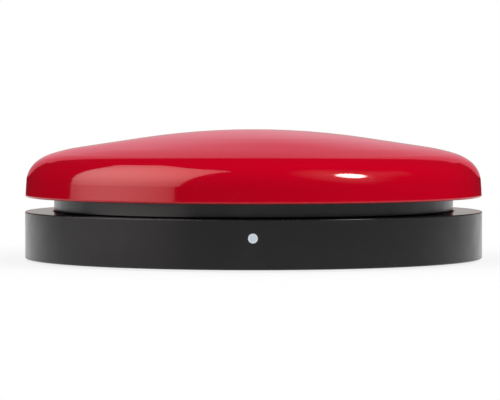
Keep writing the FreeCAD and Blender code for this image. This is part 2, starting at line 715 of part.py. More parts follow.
def countersink(body, places, radius, tall, shank, cut):
    """Cones that open downwards, made one by one round their own axes."""
    for across, along in places:
        sketch = new_sketch(body, "XZ_Plane", "0 - ( " + along + " )")
        draw_outline(sketch, [
            (across, HEAD_LOW),
            (across + " + " + radius, HEAD_LOW),
            (across + " + " + shank, HEAD_LOW + " + " + tall),
            (across, HEAD_LOW + " + " + tall),
        ])
        kind = "Groove" if cut else "Revolution"
        add_feature(body, kind, sketch, {"ReferenceAxis": (sketch, ["Edge4"]), "Angle": 360}, {})


# The bottom cover with the battery room, and what is let into it.
def build_bottom_cover():
    body = new_body("bottom_cover")
    cover_edge = BASE_INSIDE + " - cover_play"
    add_discs(body, [("0", "0")], cover_edge, "stand", "cover_thick")
    add_outlines(body, [room_outline("room_wall")], COVER_TOP,
                 "room_ceiling + room_wall - ( " + COVER_TOP + " )")
    cut_outlines(body, [room_outline("0")], "stand", "room_ceiling - stand")
    add_discs(body, [("0", "0")], "insert_boss_radius", COVER_TOP, "insert_long - cover_thick")
    cut_discs(body, [("0", "0")], "insert_radius", "stand", "insert_long")
    add_discs(body, door_screw_places(), "door_boss_radius", COVER_TOP,
              "door_boss_level - ( " + COVER_TOP + " )")
    cut_outlines(body, [door_outline("door_play")], "stand", "door_thick")
    round_door_corners(body, "door_play")
    cut_discs(body, door_screw_places(), "door_screw_radius", DOOR_TOP, "door_screw_reach")
    cut_discs(body, ring_places(FOOT_RING, FOOT_TURNS), "foot_radius", "stand", "foot_sink")
    case_places = ring_places(CASE_SCREW_RING, CASE_SCREW_TURNS)
    cut_discs(body, case_places, "case_head_radius + screw_play", "stand", "head_sink")
    countersink(body, case_places, "case_head_radius + screw_play", "case_head_tall",
                "screw_radius + screw_play", True)
    cut_discs(body, case_places, "screw_radius + screw_play", "stand", "cover_thick")
    cut_outlines(body, [knob_slot()], "stand", "cover_thick")
    cut_discs(body, [("control_side", "0 - control_front")], "key_radius + knob_play",
              "stand", "cover_thick")
    cut_outlines(body, tongue_outlines("room_wall", "door_play"), COVER_TOP,
                 "tongue_thick + 2 * tongue_play")
    slot = new_sketch(body, "YZ_Plane", "0 - " + ROOM_OUTSIDE)
    for row in ("- cell_pitch / 2", "+ cell_pitch / 2"):
        draw_outline(slot, box_outline(
            ROOM_MIDDLE + " " + row + " - tab_half_wide - tab_play",
            "tab_level - tab_play",
            ROOM_MIDDLE + " " + row + " + tab_half_wide + tab_play",
            "tab_level + contact_thick + tab_play",
        ))
    cut_up(body, slot, "room_wall")


def round_door_corners(body, extra):
    """Round the four upright corners of the battery door or of its seat."""
    side = number(DOOR_HALF_LONG + " + " + extra)
    front = number(DOOR_FRONT + " - " + extra)
    back = number(DOOR_BACK + " + " + extra)

    def at_corner(edge):
        if not is_upright(edge):
            return False
        place = edge.Vertexes[0].Point
        at_side = abs(abs(place.x) - side) < SAME
        return at_side and min(abs(place.y - front), abs(place.y - back)) < SAME

    round_edges(body, at_corner, "door_corner")


def knob_slot():
    """The slot of the power knob: its place at rest, its travel and the play."""
    middle = "0 - control_side"
    reach = "( knob_travel + knob_long ) / 2 + knob_play"
    return box_outline(
        middle + " - ( " + reach + " )",
        "0 - control_front - knob_wide / 2 - knob_play",
        middle + " + " + reach,
        "0 - control_front + knob_wide / 2 + knob_play",
    )


def build_battery_door():
    body = new_body("battery_door")
    add_outlines(body, [door_outline("0")], "stand", "door_thick")
    round_door_corners(body, "0")
    ribs = []
    for side in ("0 - door_rib_side", "door_rib_side"):
        ribs.append(middle_box(side, ROOM_MIDDLE, "door_rib_wide / 2",
                               "( room_half_wide - door_play )"))
    add_outlines(body, ribs, DOOR_TOP, "door_rib_tall")
    feet = tongue_outlines("0 - door_play", "0")
    add_outlines(body, feet, DOOR_TOP, TONGUE_LOW + " + tongue_thick - ( " + DOOR_TOP + " )")
    add_outlines(body, tongue_outlines("tongue_reach", "0"), TONGUE_LOW, "tongue_thick")
    places = door_screw_places()
    cut_discs(body, places, "door_head_radius + screw_play", "stand", "head_sink")
    countersink(body, places, "door_head_radius + screw_play", "door_head_tall",
                "door_screw_radius + screw_play", True)
    cut_discs(body, places, "door_screw_radius + screw_play", "stand", "door_thick")


def build_countersunk_screws(label, places, radius, tall, shank, length):
    body = new_body(label)
    countersink(body, places, radius, tall, shank, False)
    add_discs(body, places, shank, HEAD_LOW + " + " + tall, length)
    cross_recesses(body, places, HEAD_LOW)


def build_case_screws():
    length = COVER_TOP + " + case_screw_reach - ( " + HEAD_LOW + " + case_head_tall )"
    build_countersunk_screws("case_screws", ring_places(CASE_SCREW_RING, CASE_SCREW_TURNS),
                             "case_head_radius", "case_head_tall", "screw_radius", length)


def build_door_screw():
    build_countersunk_screws("battery_door_screw", door_screw_places(), "door_head_radius",
                             "door_head_tall", "door_screw_radius", "door_screw_reach")


def build_feet():
    body = new_body("rubber_feet")
    add_discs(body, ring_places(FOOT_RING, FOOT_TURNS), "foot_radius", "0",
              "stand + foot_sink")
    chamfer_edges(body, lambda edge: is_round(edge) and abs(edge.BoundBox.ZMax) < SAME,
                  "foot_bevel")


def build_insert():
    body = new_body("mounting_insert")
    add_discs(body, [("0", "0")], "insert_radius", "stand", "insert_long")
    middle = "stand + insert_long / 2"
    turn_profile(body, [
        ("insert_radius - groove_deep", middle + " - groove_wide / 2"),
        ("insert_radius + groove_deep", middle + " - groove_wide / 2"),
        ("insert_radius + groove_deep", middle + " + groove_wide / 2"),
        ("insert_radius - groove_deep", middle + " + groove_wide / 2"),
    ], cut=True)
    cut_discs(body, [("0", "0")], "insert_bore_radius", "stand", "insert_long")


# Battery cells, their contacts and leads.
def build_cell(label, row, button_side):
    """A cell lying along X; button_side is 1 where its button points to +X."""
    body = new_body(label)
    along = ROOM_MIDDLE + " " + row + " cell_pitch / 2"
    sketch = new_sketch(body, "YZ_Plane", "0 - cell_half_long")
    draw_circle(sketch, along, "cell_level", "cell_radius")
    raise_sketch(body, sketch, "2 * cell_half_long")
    start = "cell_half_long" if button_side > 0 else "0 - cell_half_long - button_long"
    button = new_sketch(body, "YZ_Plane", start)
    draw_circle(button, along, "cell_level", "button_radius")
    raise_sketch(body, button, "button_long")
    chamfer_edges(body, lambda edge: is_round(edge)
                  and abs(edge.Curve.Radius - number("cell_radius")) < SAME, "cell_edge")


def add_contact_plate(body, side, low, high):
    """The flat plate of a contact at one end of the battery room."""
    start = ROOM_HALF_LONG + " - contact_thick" if side > 0 else "0 - " + ROOM_HALF_LONG
    sketch = new_sketch(body, "YZ_Plane", start)
    draw_outline(sketch, box_outline(low, "cell_level - contact_half", high,
                                     "cell_level + contact_half"))
    raise_sketch(body, sketch, "contact_thick")


def add_leaf(body, side, along, cell_end):
    """A bent leaf that reaches from the plate to the end of a cell."""
    plate = ROOM_HALF_LONG + " - contact_thick"
    tip = cell_end + " + contact_play"
    points = [
        (plate, "cell_level - leaf_half_tall"),
        (tip, "cell_level"),
        (plate, "cell_level + leaf_half_tall"),
        (plate, "cell_level + leaf_half_tall - leaf_foot"),
        (tip + " + leaf_thick", "cell_level"),
        (plate, "cell_level - leaf_half_tall + leaf_foot"),
    ]
    if side < 0:
        points = [("0 - ( " + across + " )", up) for across, up in points]
    sketch = new_sketch(body, "XZ_Plane", "0 - ( " + along + " ) - leaf_wide / 2")
    draw_outline(sketch, points)
    raise_sketch(body, sketch, "leaf_wide")


def build_end_contact(label, row, cell_end, reach):
    """A contact for one cell, with a solder tab through the wall of the battery room."""
    body = new_body(label)
    along = ROOM_MIDDLE + " " + row + " cell_pitch / 2"
    add_contact_plate(body, -1, along + " - contact_half", along + " + contact_half")
    add_leaf(body, -1, along, cell_end)
    tab = new_sketch(body, "YZ_Plane", "0 - " + reach)
    draw_outline(tab, box_outline(along + " - tab_half_wide", "tab_level",
                                  along + " + tab_half_wide", "tab_level + contact_thick"))
    raise_sketch(body, tab, reach + " - " + ROOM_HALF_LONG + " + contact_thick")


def build_bridge_contact():
    body = new_body("battery_contact_bridge")
    front = ROOM_MIDDLE + " - cell_pitch / 2"
    rear = ROOM_MIDDLE + " + cell_pitch / 2"
    add_contact_plate(body, 1, front + " - contact_half", rear + " + contact_half")
    add_leaf(body, 1, front, "cell_half_long + button_long")
    add_leaf(body, 1, rear, "cell_half_long")


def rounded_path(corners, bend):
    """A wire of straight lines whose inner corners are arcs."""
    edges = []
    start = corners[0]
    for index in range(1, len(corners) - 1):
        corner = corners[index]
        before = (corners[index - 1] - corner).normalize()
        after = (corners[index + 1] - corner).normalize()
        opening = before.getAngle(after)
        setback = bend / math.tan(opening / 2)
        arc_start = corner + before * setback
        arc_end = corner + after * setback
        middle = (before + after).normalize()
        centre = corner + middle * (bend / math.sin(opening / 2))
        arc_middle = centre - middle * bend
        edges.append(Part.makeLine(start, arc_start))
        edges.append(Part.Arc(arc_start, arc_middle, arc_end).toShape())
        start = arc_end
    edges.append(Part.makeLine(start, corners[-1]))
    return Part.Wire(edges)


def tube(path, start, direction, radius):
    """A solid tube of round section along a wire."""
    ring = Part.Wire([Part.makeCircle(radius, start, direction)])
    shape = path.makePipeShell([ring], True, False)
    return shape


def build_lead(label, row, reach, landing):
    """A lead from a solder tab down to the board."""
    along = number(ROOM_MIDDLE + " " + row + " cell_pitch / 2")
    drop = number("0 - " + reach + " + lead_radius + contact_play")
    level = number("lead_level")
    corners = [
        Vector(drop, along, number("tab_level")),
        Vector(drop, along, level),
        Vector(drop, number(ROOM_FRONT + " - lead_turn_gap"), level),
        Vector(-number("lead_landing"), -number(landing), level),
        Vector(-number("lead_landing"), -number(landing), number("board_top_level")),
    ]
    lead = doc.addObject("Part::Feature", label)
    lead.Label = label
    lead.Shape = tube(rounded_path(corners, number("lead_bend")), corners[0],
                      corners[1] - corners[0], number("lead_radius"))


# The circuit board and what stands on it.
def build_board():
    body = new_body("circuit_board")
    outline = box_outline("0 - board_side", "0 - " + BOARD_FRONT, "board_side", "board_back")
    add_outlines(body, [outline], BOARD_UNDER, "board_thick")
    round_edges(body, is_upright, "board_corner")
    cut_discs(body, board_screw_places(), "screw_radius + screw_play", BOARD_UNDER,
              "board_thick")


def build_board_screws():
    body = new_body("board_screws")
    places = board_screw_places()
    head_low = BOARD_UNDER + " - screw_head_tall"
    add_discs(body, places, "screw_head_radius", head_low, "screw_head_tall")
    add_discs(body, places, "screw_radius", BOARD_UNDER, "board_thick + board_screw_reach")
    cross_recesses(body, places, head_low)


def build_main_switch():
    body = new_body("main_switch_body")
    add_outlines(body, [middle_box("0", "0", "switch_side / 2", "switch_side / 2")],
                 "board_top_level", "switch_tall")
    cut_discs(body, [("0", "0")], "plunger_radius + plunger_play",
              SWITCH_TOP + " - plunger_seat - plunger_room", "plunger_seat + plunger_room")


def build_plunger():
    body = new_body("main_switch_plunger")
    low = SWITCH_TOP + " - plunger_seat"
    add_discs(body, [("0", "0")], "plunger_radius", low, PLUNGER_TOP + " - ( " + low + " )")


def build_light():
    body = new_body("status_led")
    outline = box_outline("0 - light_wide / 2", "0 - " + BOARD_FRONT, "light_wide / 2",
                          "0 - " + BOARD_FRONT + " + light_deep")
    add_outlines(body, [outline], "board_top_level", "light_tall")


def build_light_pipe():
    body = new_body("led_light_pipe")
    start = BOARD_FRONT + " + slack"
    rod = new_sketch(body, "XZ_Plane", start)
    draw_circle(rod, "0", "lens_level", "lens_radius")
    raise_sketch(body, rod, "base_radius - lens_sink - ( " + start + " )")
    collar = new_sketch(body, "XZ_Plane", BASE_INSIDE + " - slack - collar_thick")
    draw_circle(collar, "0", "lens_level", "collar_radius")
    raise_sketch(body, collar, "collar_thick")


def build_radio():
    body = new_body("radio_module")
    board = middle_box("radio_side", "0 - radio_front", "radio_wide / 2", "radio_long / 2")
    add_outlines(body, [board], "board_top_level", "radio_thick")
    can_half_wide = "( radio_wide / 2 - shield_edge )"
    can_back = "0 - radio_front + radio_long / 2 - shield_edge"
    can = box_outline("radio_side - " + can_half_wide, can_back + " - shield_long",
                      "radio_side + " + can_half_wide, can_back)
    add_outlines(body, [can], "board_top_level + radio_thick", "shield_tall")


def build_chip():
    body = new_body("controller_chip")
    outline = middle_box("0 - chip_place", "0 - chip_front", "chip_side / 2", "chip_side / 2")
    add_outlines(body, [outline], "board_top_level", "chip_tall")


# The two small controls in the underside.
def build_power_switch():
    body = new_body("power_switch_body")
    outline = middle_box("0 - control_side", "0 - control_front", "slider_long / 2",
                         "slider_wide / 2")
    add_outlines(body, [outline], "slider_level", BOARD_UNDER + " - slider_level")


def build_power_knob():
    body = new_body("power_knob")
    outline = middle_box("0 - control_side - knob_travel / 2", "0 - control_front",
                         "knob_long / 2", "knob_wide / 2")
    add_outlines(body, [outline], "control_low", "slider_level - slack - control_low")
    round_edges(body, is_upright, "knob_corner")


def build_pairing_switch():
    body = new_body("pairing_switch_body")
    outline = middle_box("control_side", "0 - control_front", "key_switch_side / 2",
                         "key_switch_side / 2")
    add_outlines(body, [outline], BOARD_UNDER + " - key_switch_tall", "key_switch_tall")


def build_pairing_key():
    body = new_body("pairing_key")
    place = [("control_side", "0 - control_front")]
    top = BOARD_UNDER + " - key_switch_tall - key_travel - slack"
    add_discs(body, place, "key_radius", "control_low", top + " - control_low")
    add_discs(body, place, "key_collar_radius", COVER_TOP + " + slack", "key_collar_thick")


# The return springs stand in the wells of the base and carry the carrier's plate.
def helix_place(turn, middle, low, pitch, radius):
    angle = 2 * math.pi * turn
    return middle + Vector(radius * math.cos(angle), radius * math.sin(angle),
                           low + pitch * turn)


def helix_way(turn, pitch, radius):
    angle = 2 * math.pi * turn
    way = Vector(-radius * math.sin(angle), radius * math.cos(angle), pitch / (2 * math.pi))
    return way.normalize()


def arc_from(start, way, end):
    """The arc that leaves start along way and ends at end."""
    chord = end - start
    straight = Vector(chord).normalize()
    lean = way - straight * way.dot(straight)
    rise = chord.Length / 2 * math.tan(way.getAngle(chord) / 2)
    middle = start + chord * 0.5 + lean.normalize() * rise
    return Part.Arc(start, middle, end).toShape()


def two_arcs(start, start_way, end, end_way):
    """Two arcs that join two places and share a direction where they meet."""
    gap = end - start
    ways = start_way + end_way
    spread = 2 * (1 - start_way.dot(end_way))
    reach = (-gap.dot(ways) + math.sqrt(gap.dot(ways) ** 2 + spread * gap.dot(gap))) / spread
    joint = (start + end) * 0.5 + (start_way - end_way) * (reach / 2)
    back = arc_from(end, end_way * -1, joint)
    return [arc_from(start, start_way, joint), back.reversed()]


def coil(middle, low, pitch, radius, turns, wire):
    """One spring as an unbroken tube, half a turn at a time."""
    edges = []
    for half in range(int(round(turns * 2))):
        start = half / 2
        end = (half + 1) / 2
        edges += two_arcs(
            helix_place(start, middle, low, pitch, radius),
            helix_way(start, pitch, radius),
            helix_place(end, middle, low, pitch, radius),
            helix_way(end, pitch, radius),
        )
    path = Part.Wire(Part.sortEdges(edges)[0])
    return tube(path, helix_place(0, middle, low, pitch, radius),
                helix_way(0, pitch, radius), wire / 2)


def build_return_springs():
    wire = number("coil_wire")
    low = number("well_level") + wire / 2
    high = number("plate_level") - wire / 2
    turns = number("coil_turns")
    pitch = (high - low) / turns
    radius = number("coil_radius")
    coils = []
    for turn in POST_TURNS:
        across, along = ring_place(POST_RING, turn)
        middle = Vector(number(across), number(along), 0)
        coils.append(coil(middle, low, pitch, radius, turns, wire))
    springs = doc.addObject("Part::Feature", "return_springs")
    springs.Label = "return_springs"
    springs.Shape = Part.makeCompound(coils)
    print("least gap between turns %.2f mm" % self_gap(low, pitch, radius, turns, wire))


def self_gap(low, pitch, radius, turns, wire):
    """The least gap of a spring to itself, measured on points along its wire."""
    steps = 48
    places = []
    for step in range(int(turns * steps) + 1):
        places.append(helix_place(step / steps, Vector(0, 0, 0), low, pitch, radius))
    least = None
    for first in range(len(places)):
        for second in range(first + steps // 2, len(places)):
            apart = places[first].distanceToPoint(places[second]) - wire
            least = apart if least is None else min(least, apart)
    return least


build_cap()
build_carrier()
build_pad()
build_cap_screws()
build_retaining_washers()
build_retaining_screws()
build_base()
build_bottom_cover()
build_battery_door()
build_case_screws()
build_door_screw()
build_feet()
build_insert()
build_cell("battery_cell_front", "-", 1)
build_cell("battery_cell_rear", "+", -1)
build_end_contact("battery_contact_negative", "-", "cell_half_long", FRONT_TAB_END)
build_end_contact("battery_contact_positive", "+", "cell_half_long + button_long",
                  REAR_TAB_END)
build_bridge_contact()
build_lead("battery_lead_negative", "-", FRONT_TAB_END, "lead_landing_front")
build_lead("battery_lead_positive", "+", REAR_TAB_END,
           "lead_landing_front + lead_landing_pitch")
build_board()
build_board_screws()
build_main_switch()
build_plunger()
build_light()
build_light_pipe()
build_radio()
build_chip()
build_power_switch()
build_power_knob()
build_pairing_switch()
build_pairing_key()
build_return_springs()
doc.recompute()

# Check every object, then write one file for each piece.
for item in doc.Objects:
    if "Invalid" in item.State or "Error" in item.State:
        raise RuntimeError("%s did not compute" % item.Label)

os.makedirs("parts", exist_ok=True)
pieces = [item for item in doc.Objects
          if item.TypeId == "PartDesign::Body" or item.TypeId == "Part::Feature"]
for item in pieces:
    if item.Shape.isNull() or not item.Shape.isValid():
        raise RuntimeError("%s has no sound shape" % item.Label)
    if not item.Shape.Solids:
        raise RuntimeError("%s holds no solid" % item.Label)
    item.Shape.exportStep("parts/%s.step" % item.Label)
print("%d pieces written" % len(pieces))
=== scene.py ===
# Studio picture of the adaptive switch button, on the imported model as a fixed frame.
# Metres, +Z up, the front faces -Y. Places on the part come from the frame where it shows them.
import bpy
import json
import math
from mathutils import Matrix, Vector


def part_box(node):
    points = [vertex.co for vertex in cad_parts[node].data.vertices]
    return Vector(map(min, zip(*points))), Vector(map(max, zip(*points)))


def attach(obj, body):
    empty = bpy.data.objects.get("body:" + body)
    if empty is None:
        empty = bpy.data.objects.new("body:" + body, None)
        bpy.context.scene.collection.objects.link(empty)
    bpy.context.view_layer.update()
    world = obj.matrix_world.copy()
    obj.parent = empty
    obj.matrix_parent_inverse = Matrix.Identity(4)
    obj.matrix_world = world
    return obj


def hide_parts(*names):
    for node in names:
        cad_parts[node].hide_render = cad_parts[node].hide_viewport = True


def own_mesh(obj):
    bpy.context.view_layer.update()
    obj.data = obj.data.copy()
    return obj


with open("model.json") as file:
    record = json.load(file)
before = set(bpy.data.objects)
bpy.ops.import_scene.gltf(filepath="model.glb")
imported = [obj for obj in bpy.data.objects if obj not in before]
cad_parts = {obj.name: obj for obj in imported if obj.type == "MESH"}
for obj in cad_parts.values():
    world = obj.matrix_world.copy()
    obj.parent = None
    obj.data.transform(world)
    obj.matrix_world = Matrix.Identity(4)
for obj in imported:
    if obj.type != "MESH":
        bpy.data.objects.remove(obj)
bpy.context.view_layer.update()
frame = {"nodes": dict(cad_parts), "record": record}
scene = bpy.context.scene
MM = 0.001
WHITE = (1, 1, 1, 1)

# Corners and levels read from the frame.
CAP_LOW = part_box("cap")[0]
BASE_LOW, BASE_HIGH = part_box("base_housing")
PIPE_LOW, PIPE_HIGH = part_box("led_light_pipe")
KNOB_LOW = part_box("power_knob")[0]
BASE_RADIUS = BASE_HIGH.x
PIPE_LEVEL = (PIPE_LOW.z + PIPE_HIGH.z) / 2

# Two sizes of the part that no box shows: the level of the base's top ring, and the radius of
# the light pipe's round face.
BASE_TOP = 13.3 * MM
PIPE_RADIUS = 1.25 * MM

# The faint arch of the cap's sloping zone, which its reflections show: middle, half width, height.
BELLY_RADIUS = 38.5 * MM
BELLY_HALF = 22 * MM
BELLY_HEIGHT = 0.38 * MM

# The photograph's camera: its sensor's width and focal length in mm, its place, its dip and its
# turn to the left in degrees, and the nearest and furthest distance that it shows.
SENSOR = 36.0
FOCAL_LENGTH = 215.7
CAMERA_PLACE = (2.31 * MM, -821.0 * MM, 44.45 * MM)
CAMERA_DIP = 1.971
CAMERA_TURN = 0.23
CAMERA_NEAR = 0.01
CAMERA_FAR = 20

# Most of a noise lies between the first two values, and hardly any of it above the third. A
# hairline's edge is soft over the fourth.
NOISE_LOW = 0.3
NOISE_HIGH = 0.7
NOISE_CREST = 0.72
HAIRLINE_EDGE = 0.02


def linear(shown):
    """The linear value of a displayed value from 0 to 255, as the sRGB standard gives it."""
    share = shown / 255
    if share <= 0.04045:
        return share / 12.92
    return ((share + 0.055) / 1.055) ** 2.4


def colour(red, green, blue):
    """A linear colour from a displayed colour."""
    return (linear(red), linear(green), linear(blue), 1)


def grey(tone):
    """A grey from its linear value."""
    return (tone, tone, tone, 1)


def shade(base, factor, lift=0.0):
    """A colour made darker or lighter by a factor and a lift."""
    return tuple(min(1, value * factor + lift) for value in base[:3]) + (1,)


# Building blocks of the materials.
class Tree:
    """A node tree under construction, with a short call for each kind of node that repeats."""

    def __init__(self, tree, coordinates):
        self.nodes = tree.nodes
        self.links = tree.links
        self.nodes.clear()
        self.place = self.nodes.new("ShaderNodeTexCoord").outputs[coordinates]

    def give(self, socket, value):
        """Link a socket, or set a plain value."""
        if isinstance(value, bpy.types.NodeSocket):
            self.links.new(value, socket)
        else:
            socket.default_value = value

    def math(self, operation, first, second=0.0):
        """The result of one Math node."""
        made = self.nodes.new("ShaderNodeMath")
        made.operation = operation
        self.give(made.inputs[0], first)
        self.give(made.inputs[1], second)
        return made.outputs["Value"]

    def plus(self, first, second):
        return self.math("ADD", first, second)

    def minus(self, first, second):
        return self.math("SUBTRACT", first, second)

    def times(self, first, second):
        return self.math("MULTIPLY", first, second)

    def most(self, first, second):
        """The larger of two values."""
        return self.math("MAXIMUM", first, second)

    def square(self, value):
        return self.math("POWER", value, 2.0)

    def apart(self, value, middle=0.0):
        """How far a value is from a middle, on either side of it."""
        return self.math("ABSOLUTE", self.minus(value, middle))

    def slant(self, first, second):
        """The distance across two distances at right angles."""
        return self.math("SQRT", self.plus(self.square(first), self.square(second)))

    def spread(self, value, low, high, to_low=0.0, to_high=1.0):
        """Map a value's range from low to high onto another range, and stay within that."""
        made = self.nodes.new("ShaderNodeMapRange")
        self.links.new(value, made.inputs["Value"])
        made.inputs["From Min"].default_value = low
        made.inputs["From Max"].default_value = high
        made.inputs["To Min"].default_value = to_low
        made.inputs["To Max"].default_value = to_high
        return made.outputs["Result"]

    def blend(self, share, first, second):
        """A colour between two colours."""
        made = self.nodes.new("ShaderNodeMixRGB")
        self.give(made.inputs["Fac"], share)
        self.give(made.inputs["Color1"], first)
        self.give(made.inputs["Color2"], second)
        return made.outputs["Color"]

    def mix_shaders(self, share, first, second):
        """A shader between two shaders."""
        made = self.nodes.new("ShaderNodeMixShader")
        self.links.new(share, made.inputs["Fac"])
        self.links.new(first, made.inputs[1])
        self.links.new(second, made.inputs[2])
        return made.outputs["Shader"]

    def axis(self, name):
        """One coordinate of the place."""
        split = self.nodes.new("ShaderNodeSeparateXYZ")
        self.links.new(self.place, split.inputs["Vector"])
        return split.outputs[name]

    def ring(self):
        """The distance from the upright axis through the object's origin."""
        return self.slant(self.axis("X"), self.axis("Y"))

    def far_from(self, point):
        """The distance from a point."""
        gap = self.nodes.new("ShaderNodeVectorMath")
        gap.operation = "DISTANCE"
        self.links.new(self.place, gap.inputs[0])
        gap.inputs[1].default_value = point
        return gap.outputs["Value"]

    def ray(self, kind):
        """1 for the rays of one kind and 0 for all others."""
        return self.nodes.new("ShaderNodeLightPath").outputs["Is " + kind + " Ray"]

    def seen(self):
        """1 for the rays that see a surface directly, in gloss or through clear pieces."""
        return self.most(self.most(self.ray("Camera"), self.ray("Glossy")), self.ray("Transmission"))


class Recipe(Tree):
    """A material under construction: its nodes, its main shader and its bump."""

    def __init__(self, name, kind="ShaderNodeBsdfPrincipled"):
        self.material = bpy.data.materials.new(name)
        self.material.use_nodes = True
        super().__init__(self.material.node_tree, "Object")
        self.output = self.nodes.new("ShaderNodeOutputMaterial")
        self.shader = self.nodes.new(kind)
        self.links.new(self.shader.outputs[0], self.output.inputs["Surface"])
        self.normal = None

    def set(self, name, value):
        """Link or set one input of the main shader."""
        self.give(self.shader.inputs[name], value)

    def noise(self, grain, detail=2.0, stretch=None):
        """Noise from 0 to 1 with blobs about one grain across."""
        place = self.place
        if stretch:
            mapping = self.nodes.new("ShaderNodeMapping")
            self.links.new(place, mapping.inputs["Vector"])
            mapping.inputs["Scale"].default_value = stretch
            place = mapping.outputs["Vector"]
        made = self.nodes.new("ShaderNodeTexNoise")
        self.links.new(place, made.inputs["Vector"])
        made.inputs["Scale"].default_value = 1 / grain
        made.inputs["Detail"].default_value = detail
        return made.outputs["Fac"]

    def uneven(self, grain, detail, low, high):
        """A value that wanders from low to high, in blobs about one grain across."""
        return self.spread(self.noise(grain, detail), NOISE_LOW, NOISE_HIGH, low, high)

    def hairlines(self, length, width, share):
        """Fine scratches in two directions, 1 on a scratch and 0 beside it."""
        thin = length / width
        start = NOISE_CREST - share
        marks = None
        for stretch in ((1, thin, 1), (thin, 1, thin)):
            streak = self.noise(length, detail=1.0, stretch=stretch)
            line = self.spread(streak, start, start + HAIRLINE_EDGE)
            marks = self.most(marks, line) if marks else line
        return marks

    def raise_by(self, value, height):
        """Bump: raise the surface by this height where the value is 1."""
        made = self.nodes.new("ShaderNodeBump")
        self.links.new(value, made.inputs["Height"])
        made.inputs["Distance"].default_value = height
        if self.normal:
            self.links.new(self.normal, made.inputs["Normal"])
        self.normal = made.outputs["Normal"]
        self.links.new(self.normal, self.shader.inputs["Normal"])


def mottled(recipe, base, share, grain):
    """The base colour, a little darker and lighter in soft blotches."""
    blotches = recipe.noise(grain, detail=3.0)
    return recipe.blend(blotches, shade(base, 1 - share), shade(base, 1 + share))


# Moulded plastic: the strength and size of the blotches in its colour, and the size and swing
# of its dull and glossy patches.
PLASTIC_BLOTCH = 0.06
PLASTIC_BLOTCH_SIZE = 9 * MM
PLASTIC_PATCH_SIZE = 5 * MM
PLASTIC_SWING = 0.15

# Its worn edges: the size of the worn spots, the noise at which they begin and are full, how
# much lighter a spot is, how much of that shows, and how much rougher it is.
WORN_SPOT = 0.7 * MM
WORN_RANGE = (0.35, 0.7)
WORN_FACTOR = 1.6
WORN_LIFT = 0.012
WORN_SHARE = 0.5
WORN_ROUGH = 0.12

# Metal: the strength and size of its changes of tone, the size of its smudges, and the factors
# of the roughness between which they wander.
METAL_TONE = 0.1
METAL_TONE_SIZE = 2 * MM
SMUDGE_SIZE = 1.5 * MM
SMUDGE_LOW = 0.75
SMUDGE_HIGH = 1.35


def plastic(name, base, rough, grain, relief, worn=None, polished=None):
    """Moulded plastic: mottled colour, a grain, uneven gloss, wear and polish where they say."""
    recipe = Recipe(name)
    skin = mottled(recipe, base, PLASTIC_BLOTCH, PLASTIC_BLOTCH_SIZE)
    gloss = recipe.uneven(PLASTIC_PATCH_SIZE, detail=4.0, low=rough * (1 - PLASTIC_SWING),
                          high=rough * (1 + PLASTIC_SWING))
    if worn:
        edge = recipe.times(worn(recipe), recipe.spread(recipe.noise(WORN_SPOT), *WORN_RANGE))
        paler = shade(base, WORN_FACTOR, WORN_LIFT)
        skin = recipe.blend(recipe.times(edge, WORN_SHARE), skin, paler)
        gloss = recipe.plus(gloss, recipe.times(edge, WORN_ROUGH))
    if polished:
        gloss = recipe.times(gloss, polished(recipe))
    recipe.set("Base Color", skin)
    recipe.set("Roughness", gloss)
    recipe.raise_by(recipe.noise(grain), relief)
    return recipe


def metal(name, base, rough, grain, relief):
    """Metal with a fine tooth, smudges and a slight change of tone."""
    recipe = Recipe(name)
    recipe.set("Metallic", 1.0)
    recipe.set("Base Color", mottled(recipe, base, METAL_TONE, METAL_TONE_SIZE))
    recipe.set("Roughness", recipe.uneven(SMUDGE_SIZE, detail=4.0, low=rough * SMUDGE_LOW,
                                          high=rough * SMUDGE_HIGH))
    recipe.raise_by(recipe.noise(grain, detail=3.0), relief)
    return recipe


# Places where edges wear, and zones of the cap and the base.
def near(recipe, value, edge, start, full):
    """A fade from 0 to 1 between two distances from an edge; minus is inside or below it."""
    return recipe.spread(value, edge + start, edge + full)


def near_lip(recipe):
    """The cap's lower edge."""
    return near(recipe, recipe.axis("Z"), CAP_LOW.z, start=0.9 * MM, full=0.2 * MM)


def near_rim(recipe):
    """The base's upper outer edge and its lower edge."""
    out = near(recipe, recipe.ring(), BASE_RADIUS, start=-0.7 * MM, full=-0.1 * MM)
    upper = near(recipe, recipe.axis("Z"), BASE_TOP, start=-0.6 * MM, full=-0.1 * MM)
    lower = near(recipe, recipe.axis("Z"), BASE_LOW.z, start=0.7 * MM, full=0.2 * MM)
    return recipe.times(out, recipe.most(upper, lower))


def near_low_edge(recipe):
    """The lower end of the small controls, which a finger meets."""
    return near(recipe, recipe.axis("Z"), KNOB_LOW.z, start=0.4 * MM, full=0.0)


def belly(recipe):
    """The faintly arched zone of the cap between its crown and its brow, 1 along its middle."""
    arch = recipe.spread(recipe.apart(recipe.ring(), BELLY_RADIUS), BELLY_HALF, 0.0)
    arch.node.interpolation_type = "SMOOTHSTEP"
    return arch


def polished_ring(recipe):
    """The share of the roughness that the base keeps, which is less on its top ring."""
    start = BASE_TOP - 0.15 * MM
    full = BASE_TOP - 0.03 * MM
    kept = 0.45
    return recipe.spread(recipe.axis("Z"), start, full, 1.0, kept)


